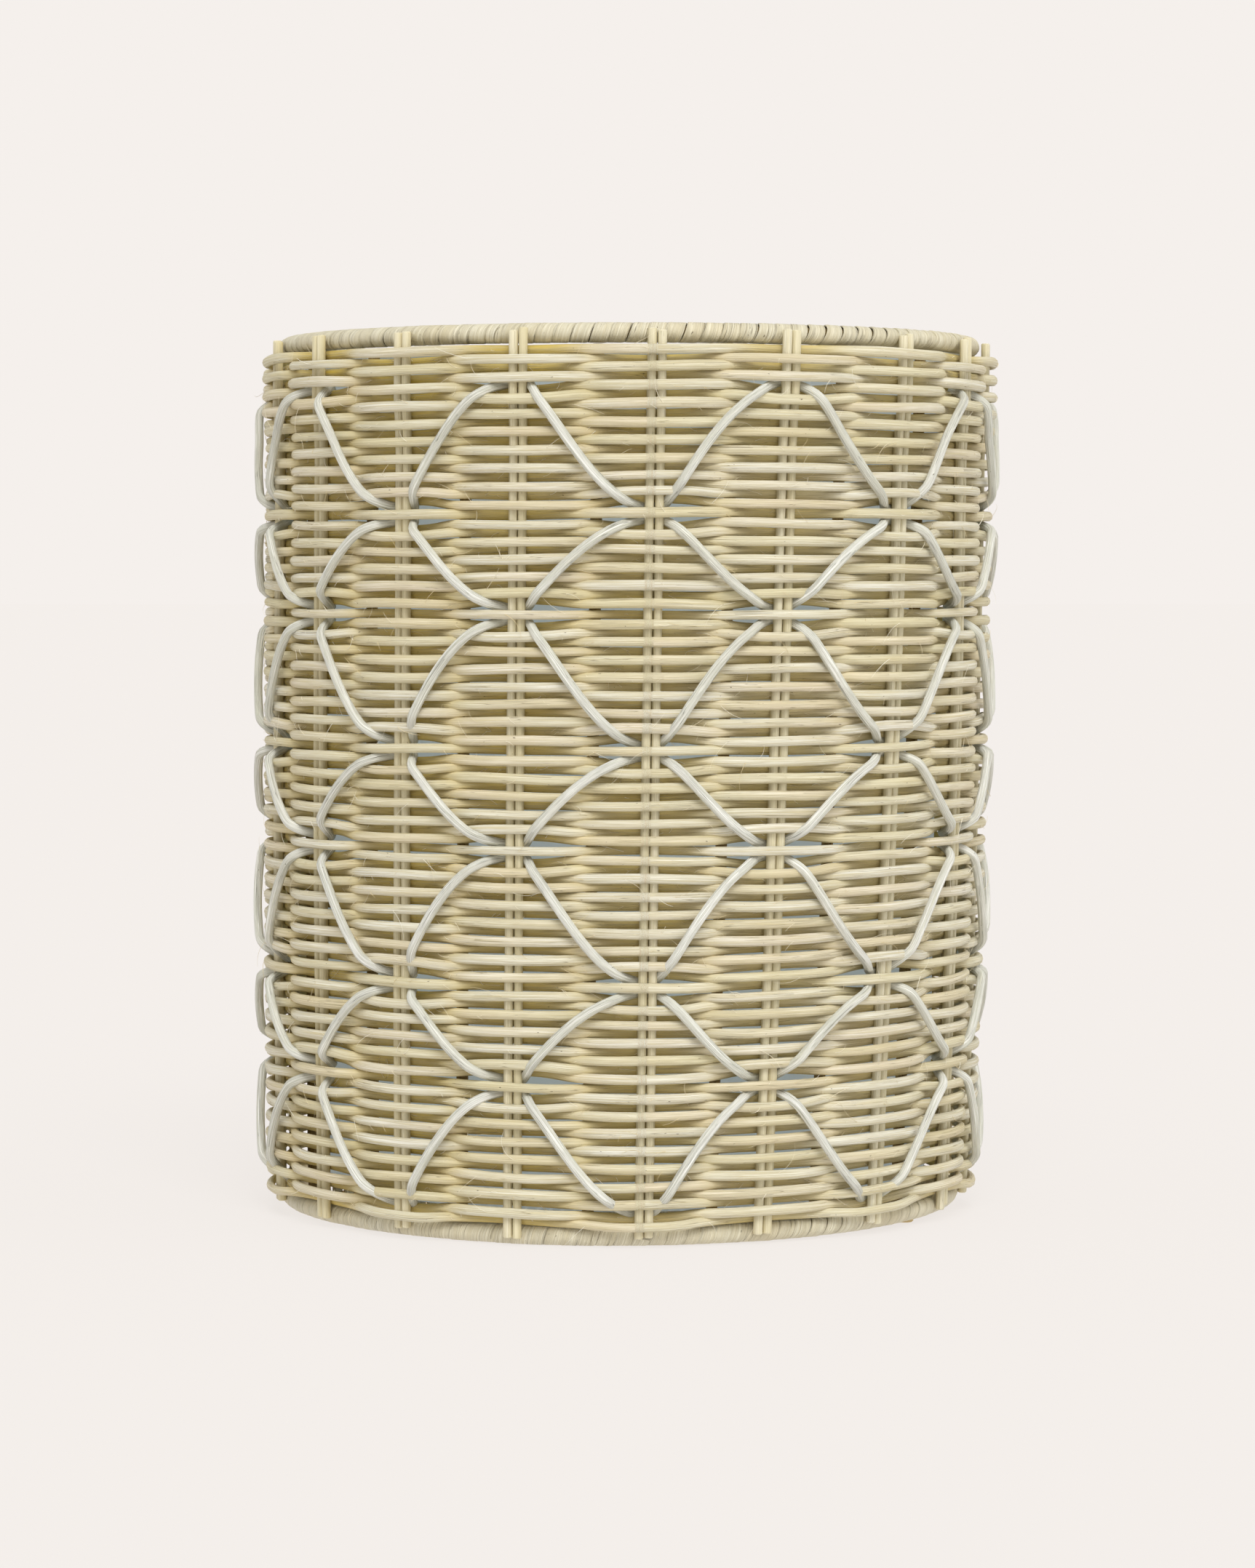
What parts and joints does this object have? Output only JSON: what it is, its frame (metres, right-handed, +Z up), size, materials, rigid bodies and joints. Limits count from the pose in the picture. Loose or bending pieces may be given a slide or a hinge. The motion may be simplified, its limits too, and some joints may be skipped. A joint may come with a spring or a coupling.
{
  "type": "wastebasket",
  "caption": "Round woven cane wastebasket with paired upright stakes, zigzag strands, wrapped rims and a lift-out plastic liner.",
  "frame": {"origin": "centre of the bottom, on the surface that the basket stands on", "axes": "+Z up along the basket's axis; the first stake pair faces -Y"},
  "size_m": [0.26, 0.259, 0.302],
  "materials": {
    "weaver_cane": "natural peeled cane, satin",
    "zigzag_cane": "pale cane, dry",
    "stake_cane": "pale peeled cane, satin",
    "wrapping_cane": "flat cane strip, satin",
    "hoop_rod": "bent rod, plain",
    "rib_rod": "plain rod",
    "floor_cane": "natural cane",
    "liner_plastic": "translucent moulded plastic, satin"
  },
  "bodies": {
    "basket": {"base_bearers": "floor_cane", "base_canes": "floor_cane", "border_rows_bottom": "weaver_cane", "border_rows_top": "weaver_cane", "bottom_hoop_core": "hoop_rod", "bottom_rim_wrap": "wrapping_cane", "inner_ribs": "rib_rod", "outer_stakes": "stake_cane", "tier_1_rows": "weaver_cane", "tier_2_rows": "weaver_cane", "tier_3_rows": "weaver_cane", "tier_4_rows": "weaver_cane", "tier_5_rows": "weaver_cane", "tier_6_rows": "weaver_cane", "tier_7_rows": "weaver_cane", "top_hoop_core": "hoop_rod", "top_rim_wrap": "wrapping_cane", "zigzag_strand_1": "zigzag_cane", "zigzag_strand_2": "zigzag_cane", "zigzag_strand_3": "zigzag_cane", "zigzag_strand_4": "zigzag_cane", "zigzag_strand_5": "zigzag_cane", "zigzag_strand_6": "zigzag_cane", "zigzag_strand_7": "zigzag_cane"},
    "liner": {"liner": "liner_plastic"}
  },
  "joints": [
    {"name": "liner_lift", "type": "slide", "parent": "basket", "child": "liner", "axis": [0, 0, 1], "range_m": [0, 0.31]}
  ]
}
